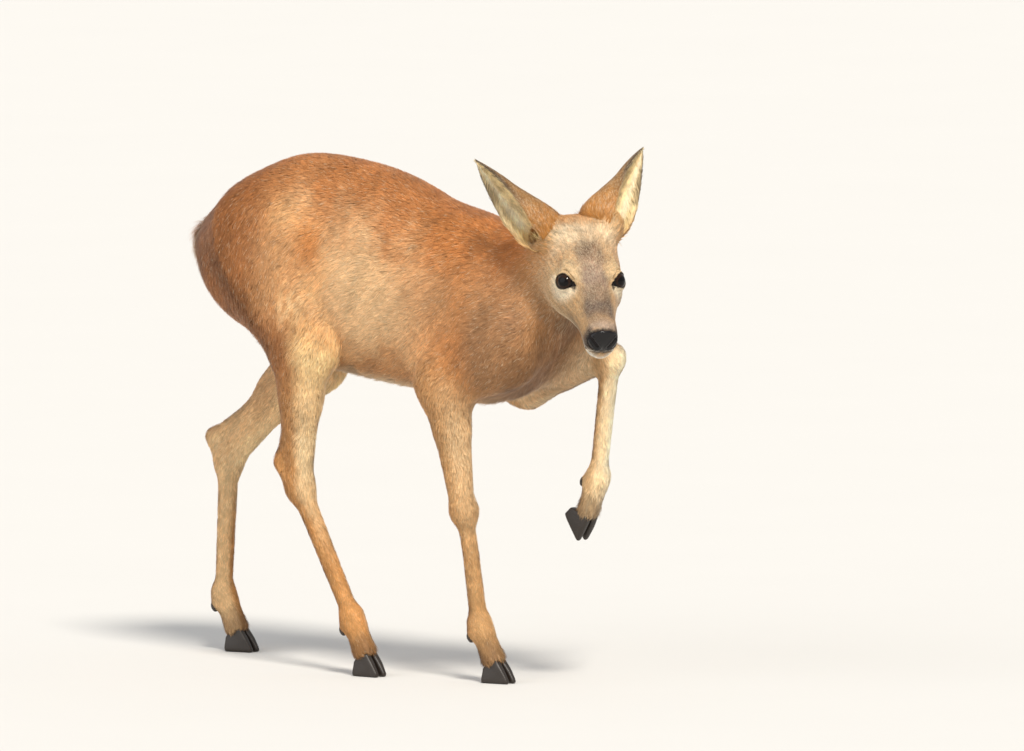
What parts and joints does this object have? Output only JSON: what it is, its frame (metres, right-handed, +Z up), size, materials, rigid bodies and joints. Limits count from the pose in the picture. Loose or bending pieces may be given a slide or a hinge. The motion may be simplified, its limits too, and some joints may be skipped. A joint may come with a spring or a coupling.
{
  "type": "roe deer",
  "caption": "Life-size roe deer doe in her short summer coat, walking with one foreleg lifted, her head lowered and turned to the right, ears out to both sides.",
  "frame": {"origin": "middle of the deer's own box, on the floor she stands on", "axes": "-Y the way she walks, +X to her left, +Z up"},
  "size_m": [0.2508, 0.8504, 0.6969],
  "materials": {
    "coat": "short summer fur",
    "eye": "wet gloss",
    "nose": "moist, finely pebbled",
    "hoof": "satin horn"
  },
  "bodies": {
    "root": {"right_fore_upper_arm": "coat", "right_fore_forearm": "coat", "right_fore_inner_claw": "hoof", "right_fore_inner_dewclaw": "hoof", "right_fore_outer_claw": "hoof", "right_fore_outer_dewclaw": "hoof", "right_fore_cannon": "coat", "right_fore_pastern": "coat", "left_fore_upper_arm": "coat", "left_fore_forearm": "coat", "left_fore_inner_claw": "hoof", "left_fore_inner_dewclaw": "hoof", "left_fore_outer_claw": "hoof", "left_fore_outer_dewclaw": "hoof", "left_fore_cannon": "coat", "left_fore_pastern": "coat", "right_hind_thigh": "coat", "right_hind_gaskin": "coat", "right_hind_inner_claw": "hoof", "right_hind_inner_dewclaw": "hoof", "right_hind_outer_claw": "hoof", "right_hind_outer_dewclaw": "hoof", "right_hind_cannon": "coat", "right_hind_pastern": "coat", "left_hind_thigh": "coat", "left_hind_gaskin": "coat", "left_hind_inner_claw": "hoof", "left_hind_inner_dewclaw": "hoof", "left_hind_outer_claw": "hoof", "left_hind_outer_dewclaw": "hoof", "left_hind_cannon": "coat", "left_hind_pastern": "coat", "nose_pad": "nose", "right_eye": "eye", "right_ear": "coat", "left_eye": "eye", "left_ear": "coat", "head": "coat", "neck": "coat", "tail": "coat", "trunk": "coat"}
  },
  "joints": []
}
